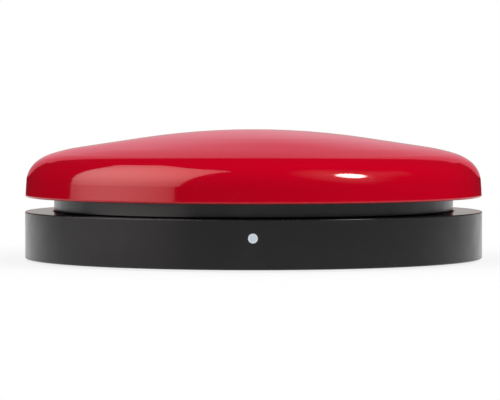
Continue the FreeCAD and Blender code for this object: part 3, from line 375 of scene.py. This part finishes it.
# The materials, one for each finish of the record.
def cap_red():
    """Glossy red plastic with a trace of orange peel and fine hairlines from use."""
    recipe = Recipe("cap_red")
    red = colour(196, 1, 31)
    rubbed = colour(214, 60, 72)
    rubbed_share = 0.25
    rubbed_rough = 0.15
    mark_rough = 0.06
    orange_peel = 2.2 * MM
    marks = recipe.hairlines(length=9 * MM, width=0.25 * MM, share=0.02)
    spots = recipe.spread(recipe.noise(1.2 * MM), low=0.3, high=0.8)
    edge = recipe.times(near_lip(recipe), spots)
    skin = mottled(recipe, red, share=0.03, grain=20 * MM)
    recipe.set("Base Color", recipe.blend(recipe.times(edge, rubbed_share), skin, rubbed))
    gloss = recipe.uneven(14 * MM, detail=5.0, low=0.045, high=0.075)
    gloss = recipe.plus(gloss, recipe.times(marks, mark_rough))
    gloss = recipe.plus(gloss, recipe.times(edge, rubbed_rough))
    recipe.set("Roughness", gloss)
    recipe.set("Specular Tint", (1.0, 0.68, 0.64, 1))
    recipe.set("Sheen Weight", 0.3)
    recipe.set("Sheen Roughness", 0.3)
    recipe.set("Sheen Tint", (1.0, 0.05, 0.1, 1))
    recipe.raise_by(belly(recipe), BELLY_HEIGHT)
    recipe.raise_by(recipe.noise(orange_peel, detail=1.0), height=0.0018 * MM)
    return recipe


def carrier_black():
    """The neck and all of the carrier."""
    recipe = plastic("carrier_black", colour(28, 26, 27), rough=0.24, grain=0.5 * MM,
                     relief=0.003 * MM)
    recipe.set("Specular IOR Level", 0.45)
    return recipe


def base_black():
    """The base, with worn edges and a top ring that is smoother than its wall."""
    recipe = plastic("base_black", colour(25, 23, 24), rough=0.22, grain=0.45 * MM,
                     relief=0.003 * MM, worn=near_rim, polished=polished_ring)
    recipe.set("Specular IOR Level", 0.3)
    return recipe


def cover_black():
    return plastic("cover_black", colour(30, 30, 31), rough=0.5, grain=0.35 * MM, relief=0.012 * MM)


def door_black():
    return plastic("door_black", colour(33, 33, 34), rough=0.46, grain=0.35 * MM, relief=0.012 * MM)


def foot_rubber():
    recipe = plastic("foot_rubber", colour(38, 38, 38), rough=0.85, grain=0.6 * MM, relief=0.02 * MM)
    recipe.set("Sheen Weight", 0.15)
    return recipe


def pad_rubber():
    return plastic("pad_rubber", colour(128, 128, 128), rough=0.8, grain=0.6 * MM, relief=0.02 * MM)


def light_pipe():
    """Frosted clear plastic with a weak glow, a little paler at its rim."""
    recipe = Recipe("light_pipe")
    away = recipe.slant(recipe.axis("X"), recipe.minus(recipe.axis("Z"), PIPE_LEVEL))
    rim = recipe.spread(away, low=PIPE_RADIUS * 0.62, high=PIPE_RADIUS * 0.86)
    skin = recipe.blend(rim, colour(212, 226, 238), colour(236, 246, 255))
    cloud = recipe.uneven(0.5 * MM, detail=3.0, low=0.0, high=0.12)
    recipe.set("Base Color", recipe.blend(cloud, skin, colour(180, 195, 210)))
    recipe.set("Roughness", recipe.uneven(0.3 * MM, detail=2.0, low=0.25, high=0.4))
    recipe.set("Subsurface Weight", 0.3)
    recipe.set("Subsurface Radius", (1.0, 1.0, 1.0))
    recipe.set("Subsurface Scale", 0.6 * MM)
    recipe.set("Emission Color", (0.9, 1.0, 1.0, 1))
    recipe.set("Emission Strength", 0.05)
    recipe.raise_by(recipe.noise(0.2 * MM), height=0.004 * MM)
    return recipe


def knob_grey():
    """The power knob and the pairing key, worn where a finger meets them."""
    return plastic("knob_grey", colour(148, 150, 152), rough=0.45, grain=0.3 * MM, relief=0.008 * MM,
                   worn=near_low_edge)


def screw_steel():
    return metal("screw_steel", colour(188, 189, 186), rough=0.34, grain=0.25 * MM, relief=0.008 * MM)


def washer_steel():
    return metal("washer_steel", colour(196, 196, 194), rough=0.3, grain=0.2 * MM, relief=0.006 * MM)


def spring_steel():
    return metal("spring_steel", colour(180, 180, 182), rough=0.25, grain=0.15 * MM,
                 relief=0.004 * MM)


def insert_brass():
    return metal("insert_brass", colour(201, 168, 92), rough=0.28, grain=0.2 * MM, relief=0.01 * MM)


def contact_nickel():
    return metal("contact_nickel", colour(202, 198, 188), rough=0.3, grain=0.2 * MM,
                 relief=0.005 * MM)


def shield_steel():
    return metal("shield_steel", colour(196, 198, 200), rough=0.35, grain=0.3 * MM,
                 relief=0.008 * MM)


def cell_jacket():
    """Shrink sleeve of a battery cell, dark grey with a faint metallic lustre."""
    recipe = plastic("cell_jacket", colour(58, 62, 68), rough=0.3, grain=0.8 * MM, relief=0.004 * MM)
    recipe.set("Metallic", 0.35)
    return recipe


def board_green():
    """Lacquered circuit board with a faint weave under the lacquer."""
    recipe = plastic("board_green", colour(16, 92, 52), rough=0.3, grain=0.9 * MM, relief=0.006 * MM)
    weave = recipe.noise(0.6 * MM, detail=0.0, stretch=(1, 8, 1))
    recipe.raise_by(weave, height=0.004 * MM)
    return recipe


def lead_black():
    return plastic("lead_black", colour(30, 30, 30), rough=0.4, grain=0.4 * MM, relief=0.004 * MM)


def lead_red():
    return plastic("lead_red", colour(168, 24, 24), rough=0.4, grain=0.4 * MM, relief=0.004 * MM)


def switch_black():
    return plastic("switch_black", colour(40, 40, 41), rough=0.45, grain=0.3 * MM, relief=0.006 * MM)


def plunger_grey():
    return plastic("plunger_grey", colour(120, 121, 122), rough=0.4, grain=0.3 * MM,
                   relief=0.005 * MM)


def led_white():
    return plastic("led_white", colour(226, 226, 218), rough=0.3, grain=0.3 * MM, relief=0.003 * MM)


def chip_black():
    return plastic("chip_black", colour(36, 36, 37), rough=0.6, grain=0.2 * MM, relief=0.008 * MM)


FINISHES = (
    cap_red, carrier_black, base_black, cover_black, door_black, foot_rubber, pad_rubber,
    light_pipe, knob_grey, screw_steel, washer_steel, spring_steel, insert_brass,
    contact_nickel, shield_steel, cell_jacket, board_green, lead_black, lead_red,
    switch_black, plunger_grey, led_white, chip_black,
)


def dress_nodes():
    """Give every node of the frame the finish that the record names for it."""
    finishes = {make.__name__: make().material for make in FINISHES}
    for part in frame["record"]["subparts"]:
        node = frame["nodes"][part["node"]]
        for slot in node.material_slots:
            slot.material = finishes[part["material_slot"]]


def springs_that_shorten():
    """The return springs again, as a piece of their own carried by the base, with the frame's springs
    hidden.
    """
    springs = bpy.data.objects.new("shortening_springs", frame["nodes"]["return_springs"].data.copy())
    scene.collection.objects.link(springs)
    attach(springs, "base")
    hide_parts("return_springs")
    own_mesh(springs)


# The studio: panels that only the gloss shows, lamps, floor and world.
def direction(x, y, z):
    return Vector((x, y, z)).normalized()


def bearing(azimuth, elevation):
    """A direction from degrees; azimuth 0 is straight behind the object, + is to the right."""
    turn = math.radians(azimuth)
    lift = math.radians(elevation)
    return Vector((math.sin(turn) * math.cos(lift), math.cos(turn) * math.cos(lift), math.sin(lift)))


def glow(name, tone=WHITE, strength=1.0):
    """The material of something that shines."""
    recipe = Recipe(name, "ShaderNodeEmission")
    recipe.set("Color", tone)
    recipe.set("Strength", strength)
    return recipe


def only_in_gloss(piece):
    """Let a piece light nothing and show only as a reflection."""
    piece.visible_camera = False
    piece.visible_diffuse = False
    piece.visible_shadow = False
    piece.visible_transmission = False
    piece.visible_volume_scatter = False


def panel(name, outline, distance, material):
    """A panel round its own middle, whose edge lies in the given directions."""
    middle = sum(outline, Vector()).normalized()
    corners = [corner * distance for corner in outline]
    mesh = bpy.data.meshes.new(name)
    count = len(corners)
    faces = [(step, (step + 1) % count, count) for step in range(count)]
    mesh.from_pydata(corners + [middle * distance], [], faces)
    mesh.materials.append(material)
    piece = bpy.data.objects.new(name, mesh)
    scene.collection.objects.link(piece)
    only_in_gloss(piece)


# The unlit studio round the object: radius and brightness.
TENT_RADIUS = 2.4
TENT_GLOW = 0.004


def dark_tent():
    """The unlit studio as the gloss shows it."""
    bpy.ops.mesh.primitive_uv_sphere_add(segments=48, ring_count=24, radius=TENT_RADIUS)
    tent = bpy.context.object
    tent.name = "studio_dark"
    tent.data.materials.append(glow("studio_dark", strength=TENT_GLOW).material)
    only_in_gloss(tent)


# The bright backdrop in degrees seen from the object: its middle's azimuth and elevation, its
# half width, its reach above and below the middle, and how square its round outline is. A
# waist makes it narrower near one elevation.
BACKDROP_AT = (0.5, 10.0)
BACKDROP_WIDE = 25.0
BACKDROP_RISE = 38.2
BACKDROP_DROP = 10.3
BACKDROP_SQUARE = 2.3
BACKDROP_WAIST = 2.2
BACKDROP_WAIST_AT = 22.0
BACKDROP_WAIST_TALL = 6.0

# Its distance, and the number of points round its edge.
BACKDROP_DISTANCE = 1.6
BACKDROP_POINTS = 60

# Its colour at the foot, the two heights between which the foot ends, and the colours that
# follow above it, each between two heights.
BACKDROP_FOOT = (0.51, 0.495, 0.475, 1)
FOOT_ENDS = (0.13, 0.22)
BACKDROP_BANDS = (
    (FOOT_ENDS, (0.77, 0.48, 0.55, 1)),
    ((0.30, 0.54), (0.63, 0.21, 0.28, 1)),
    ((0.58, 0.84), (0.58, 0.28, 0.36, 1)),
)

# Its colour above the foot on both sides of an upright line: that line's place, the distances
# from it at which the colour begins and is full, and the two heights between which it fades to
# a share.
BACKDROP_SIDES = (0.73, 0.36, 0.43, 1)
SIDES_MIDDLE = 0.04
SIDES_RANGE = (0.02, 0.20)
SIDES_FADE = (0.4, 0.7)
SIDES_SHARE_ABOVE = 0.5

# Its colour at both ends, and the distances from the middle at which that begins and is full.
BACKDROP_ENDS = (0.70, 0.19, 0.25, 1)
ENDS_RANGE = (0.27, 0.46)


def backdrop_outline():
    """Directions round the backdrop's edge, an oval with slightly square shoulders."""
    outline = []
    for step in range(BACKDROP_POINTS):
        turn = 2 * math.pi * step / BACKDROP_POINTS
        reach = 1 / (abs(math.cos(turn)) ** BACKDROP_SQUARE
                     + abs(math.sin(turn)) ** BACKDROP_SQUARE) ** (1 / BACKDROP_SQUARE)
        lift = BACKDROP_RISE if math.sin(turn) > 0 else BACKDROP_DROP
        elevation = BACKDROP_AT[1] + lift * reach * math.sin(turn)
        waist = BACKDROP_WAIST * math.exp(-((elevation - BACKDROP_WAIST_AT) / BACKDROP_WAIST_TALL) ** 2)
        wide = BACKDROP_WIDE * reach - waist
        outline.append(bearing(BACKDROP_AT[0] + wide * math.cos(turn), elevation))
    return outline


def backdrop():
    """The bright panel behind the object, whose tone changes with height and to the sides."""
    recipe = glow("backdrop_glow")
    height = recipe.axis("Z")
    tone = BACKDROP_FOOT
    for heights, above in BACKDROP_BANDS:
        tone = recipe.blend(recipe.spread(height, *heights), tone, above)
    aside = recipe.spread(recipe.apart(recipe.axis("X"), SIDES_MIDDLE), *SIDES_RANGE)
    aside = recipe.times(aside, recipe.spread(height, *FOOT_ENDS))
    aside = recipe.times(aside, recipe.spread(height, *SIDES_FADE, 1.0, SIDES_SHARE_ABOVE))
    tone = recipe.blend(aside, tone, BACKDROP_SIDES)
    ends = recipe.spread(recipe.apart(recipe.axis("X")), *ENDS_RANGE)
    recipe.set("Color", recipe.blend(ends, tone, BACKDROP_ENDS))
    panel("backdrop", backdrop_outline(), BACKDROP_DISTANCE, recipe.material)


# Corners of the large softbox on the left, as directions from the object.
SOFTBOX_CORNERS = (
    (-0.98, 0.14, -0.15), (-0.97, 0.20, 0.14), (-0.82, 0.28, 0.50), (-0.64, 0.33, 0.69),
    (-0.49, 0.38, 0.79), (-0.41, 0.33, 0.85), (-0.35, 0.14, 0.93), (-0.27, -0.09, 0.96),
    (-0.13, -0.32, 0.94), (-0.22, -0.41, 0.88), (-0.32, -0.52, 0.79), (-0.44, -0.65, 0.62),
    (-0.54, -0.76, 0.36), (-0.60, -0.78, 0.17), (-0.62, -0.78, 0.10), (-0.61, -0.78, -0.15),
)

# Its distance, and the number of points from one corner to the next.
SOFTBOX_DISTANCE = 1.5
SOFTBOX_POINTS = 6

# The direction in which it is brightest, its tone, its strength there and at its dimmest, and
# the square of the distance from the brightest place at which it is so dim.
SOFTBOX_HEART = direction(-0.72, -0.27, 0.64)
SOFTBOX_TONE = (1.12, 0.98, 0.97, 1)
SOFTBOX_BRIGHT = 4.6
SOFTBOX_DIM = 0.95
SOFTBOX_FADE = 1.2


def softbox_outline():
    """Directions round the softbox's edge, a smooth closed line through its corners."""
    corners = [Vector(corner) for corner in SOFTBOX_CORNERS]
    count = len(corners)
    outline = []
    for index in range(count):
        before, start, end, after = [corners[(index + shift) % count] for shift in (-1, 0, 1, 2)]
        for step in range(SOFTBOX_POINTS):
            part = step / SOFTBOX_POINTS
            bend = (2 * before - 5 * start + 4 * end - after) * part ** 2
            twist = (3 * start - before - 3 * end + after) * part ** 3
            outline.append((start + ((end - before) * part + bend + twist) / 2).normalized())
    return outline


def softbox():
    """The large soft panel on the left, brightest near its heart."""
    recipe = glow("softbox_glow", SOFTBOX_TONE)
    away = recipe.square(recipe.far_from(SOFTBOX_HEART * SOFTBOX_DISTANCE))
    recipe.set("Strength", recipe.spread(away, 0.0, SOFTBOX_FADE, SOFTBOX_BRIGHT, SOFTBOX_DIM))
    panel("softbox", softbox_outline(), SOFTBOX_DISTANCE, recipe.material)


# The small lamp seen in the cap on the right: its direction and distance, half the angle in
# degrees of the disc that carries it and its halo, and how much taller than wide the disc is.
# The distances on the disc that follow are those before it is made taller.
LAMP_WAY = direction(0.64, -0.38, 0.70)
LAMP_DISTANCE = 1.4
DISC_ANGLE = 33
DISC_TALL = 1.3

# The lamp itself: half the angles in degrees at which it is full and ends, and its strength.
LAMP_FULL_ANGLE = 4.9
LAMP_END_ANGLE = 7.0
LAMP_STRENGTH = 45.0

# Its halo: radius, strength on the left and on the right, and where across the disc the one
# turns into the other.
HALO_RADIUS = 0.62
HALO_LEFT = 1.42
HALO_RIGHT = 0.5
HALO_TURN = (-0.05, 0.25)

# A pale wisp to the right of it: the height of its middle line, the distances from that line at
# which it ends and is full, where across the disc it begins and ends, and its strength.
WISP_LEVEL = 0.05
WISP_RANGE = (0.24, 0.06)
WISP_BEGINS = (0.0, 0.2)
WISP_ENDS = (0.75, 0.9)
WISP_STRENGTH = 0.26


def on_disc(angle):
    """The radius on the lamp's disc of a cone with this half angle in degrees."""
    return LAMP_DISTANCE * math.tan(math.radians(angle))


def lamp_glow():
    """The material of the lamp's disc; X runs to the picture's right on it, and Y up."""
    recipe = glow("lamp_halo")
    away = recipe.ring()
    across = recipe.axis("X")
    core = recipe.spread(away, on_disc(LAMP_END_ANGLE), on_disc(LAMP_FULL_ANGLE), 0.0, LAMP_STRENGTH)
    fringe = recipe.times(recipe.spread(away, HALO_RADIUS, 0.0),
                          recipe.spread(across, *HALO_TURN, HALO_LEFT, HALO_RIGHT))
    wisp = recipe.spread(recipe.apart(recipe.axis("Y"), WISP_LEVEL), *WISP_RANGE)
    wisp = recipe.times(wisp, recipe.spread(across, *WISP_BEGINS))
    wisp = recipe.times(wisp, recipe.spread(across, *WISP_ENDS, WISP_STRENGTH, 0.0))
    recipe.set("Strength", recipe.plus(core, recipe.plus(fringe, wisp)))
    return recipe.material


def lamp():
    """A small bright lamp with a soft halo, on one disc."""
    bpy.ops.mesh.primitive_circle_add(vertices=48, radius=on_disc(DISC_ANGLE), fill_type="TRIFAN",
                                      location=LAMP_WAY * LAMP_DISTANCE)
    halo = bpy.context.object
    halo.name = "lamp_halo"
    halo.rotation_mode = "QUATERNION"
    halo.rotation_quaternion = LAMP_WAY.to_track_quat("Z", "Y")
    halo.scale = (1.0, DISC_TALL, 1.0)
    halo.data.materials.append(lamp_glow())
    only_in_gloss(halo)


# Directions of the two lamps that cast light on the object.
KEY_WAY = direction(0.8, -0.35, 0.5)
SOFT_WAY = direction(-0.62, -0.2, 0.7)


def area_lamp(name, way, distance, width, power):
    """An area lamp aimed at the object, which casts light but isn't mirrored."""
    data = bpy.data.lights.new(name, "AREA")
    data.shape = "DISK"
    data.size = width
    data.energy = power
    piece = bpy.data.objects.new(name, data)
    scene.collection.objects.link(piece)
    piece.location = way * distance
    piece.rotation_mode = "QUATERNION"
    piece.rotation_quaternion = way.to_track_quat("Z", "Y")
    piece.visible_glossy = False


# The floor's width, how far it lies below the feet, the width of its clouds and their two tones,
# and the tone with which it throws light back on the object.
FLOOR_WIDTH = 8
FLOOR_GAP = 0.02 * MM
PAPER_CLOUD = 0.15
PAPER_TONES = (grey(0.88), grey(0.90))
FLOOR_BOUNCE = grey(0.35)

# In reflections the floor ends as a white table does: where round the object that begins and is
# complete, how far to the side it takes effect, and the tone beyond.
TABLE_END = (0.6, 0.9)
TABLE_SIDE = (0.12, 0.25)
TABLE_BEYOND = grey(0.01)

# The seen floor is nearly as white as the world: the share of plain white beside the base, where
# the shadow falls, and the distances from the base between which it rises to the whole.
WHITE_BY_BASE = 0.8
SHADOW_RANGE = (5 * MM, 60 * MM)

# The share of plain white with which the floor under the base lights the underside, and how far
# inside the base's edge that begins and is full.
WHITE_UNDER = 0.5
UNDER_RANGE = (-1 * MM, -4 * MM)


def beyond_table(recipe):
    """In reflections, 1 where the floor lies past the table's end to either side."""
    past = recipe.times(recipe.ray("Glossy"), recipe.spread(recipe.ring(), *TABLE_END))
    return recipe.times(past, recipe.spread(recipe.apart(recipe.axis("X")), *TABLE_SIDE))


def floor_white(recipe, beyond):
    """The share of plain white in the floor: for the rays that see it, and under the base."""
    beside = [BASE_RADIUS + distance for distance in SHADOW_RANGE]
    inside = [BASE_RADIUS + distance for distance in UNDER_RANGE]
    seen = recipe.times(recipe.seen(), recipe.minus(1.0, beyond))
    seen = recipe.times(seen, recipe.spread(recipe.ring(), *beside, WHITE_BY_BASE, 1.0))
    under = recipe.spread(recipe.ring(), *inside, 0.0, WHITE_UNDER)
    return recipe.most(seen, recipe.times(under, recipe.ray("Diffuse")))


def floor():
    """White paper a hair below the feet, which can't be seen from below."""
    bpy.ops.mesh.primitive_plane_add(size=FLOOR_WIDTH, location=(0, 0, -FLOOR_GAP))
    ground = bpy.context.object
    ground.name = "floor"
    recipe = Recipe("floor_white")
    beyond = beyond_table(recipe)
    paper = recipe.blend(recipe.noise(PAPER_CLOUD), *PAPER_TONES)
    paper = recipe.blend(recipe.ray("Diffuse"), paper, FLOOR_BOUNCE)
    recipe.set("Base Color", recipe.blend(beyond, paper, TABLE_BEYOND))
    recipe.set("Roughness", 0.9)
    recipe.set("Specular IOR Level", 0.0)
    white = recipe.nodes.new("ShaderNodeEmission").outputs["Emission"]
    clear = recipe.nodes.new("ShaderNodeBsdfTransparent").outputs["BSDF"]
    below = recipe.nodes.new("ShaderNodeNewGeometry").outputs["Backfacing"]
    above = recipe.mix_shaders(floor_white(recipe, beyond), recipe.shader.outputs[0], white)
    both = recipe.mix_shaders(below, above, clear)
    recipe.links.new(both, recipe.output.inputs["Surface"])
    ground.data.materials.append(recipe.material)


# Strength of the light that the studio's walls throw on the object, up to the horizon and
# overhead.
FILL_LOW = 1.05
FILL_HIGH = 0.62


def white_background(tree, strength):
    """White light of the world at a strength."""
    made = tree.nodes.new("ShaderNodeBackground")
    made.inputs["Color"].default_value = WHITE
    tree.give(made.inputs["Strength"], strength)
    return made.outputs["Background"]


def white_world():
    """White to the camera and in reflections; its light on surfaces is a soft fill."""
    world = bpy.data.worlds.new("studio_white")
    scene.world = world
    world.use_nodes = True
    tree = Tree(world.node_tree, "Generated")
    rise = tree.spread(tree.axis("Z"), 0.0, 1.0, FILL_LOW, FILL_HIGH)
    light = tree.mix_shaders(tree.seen(), white_background(tree, rise), white_background(tree, 1.0))
    output = tree.nodes.new("ShaderNodeOutputWorld")
    tree.links.new(light, output.inputs["Surface"])


def photo_camera():
    """The camera of the photograph."""
    data = bpy.data.cameras.new("photo_camera")
    data.sensor_fit = "HORIZONTAL"
    data.sensor_width = SENSOR
    data.lens = FOCAL_LENGTH
    data.clip_start = CAMERA_NEAR
    data.clip_end = CAMERA_FAR
    camera = bpy.data.objects.new("photo_camera", data)
    scene.collection.objects.link(camera)
    camera.location = CAMERA_PLACE
    camera.rotation_euler = (math.radians(90 - CAMERA_DIP), 0, math.radians(CAMERA_TURN))
    scene.camera = camera


dress_nodes()
springs_that_shorten()
floor()
dark_tent()
backdrop()
softbox()
lamp()
area_lamp("key_lamp", KEY_WAY, distance=1.2, width=0.25, power=5.1)
area_lamp("soft_lamp", SOFT_WAY, distance=1.3, width=0.9, power=3.2)
white_world()
photo_camera()
scene.view_settings.view_transform = "Standard"
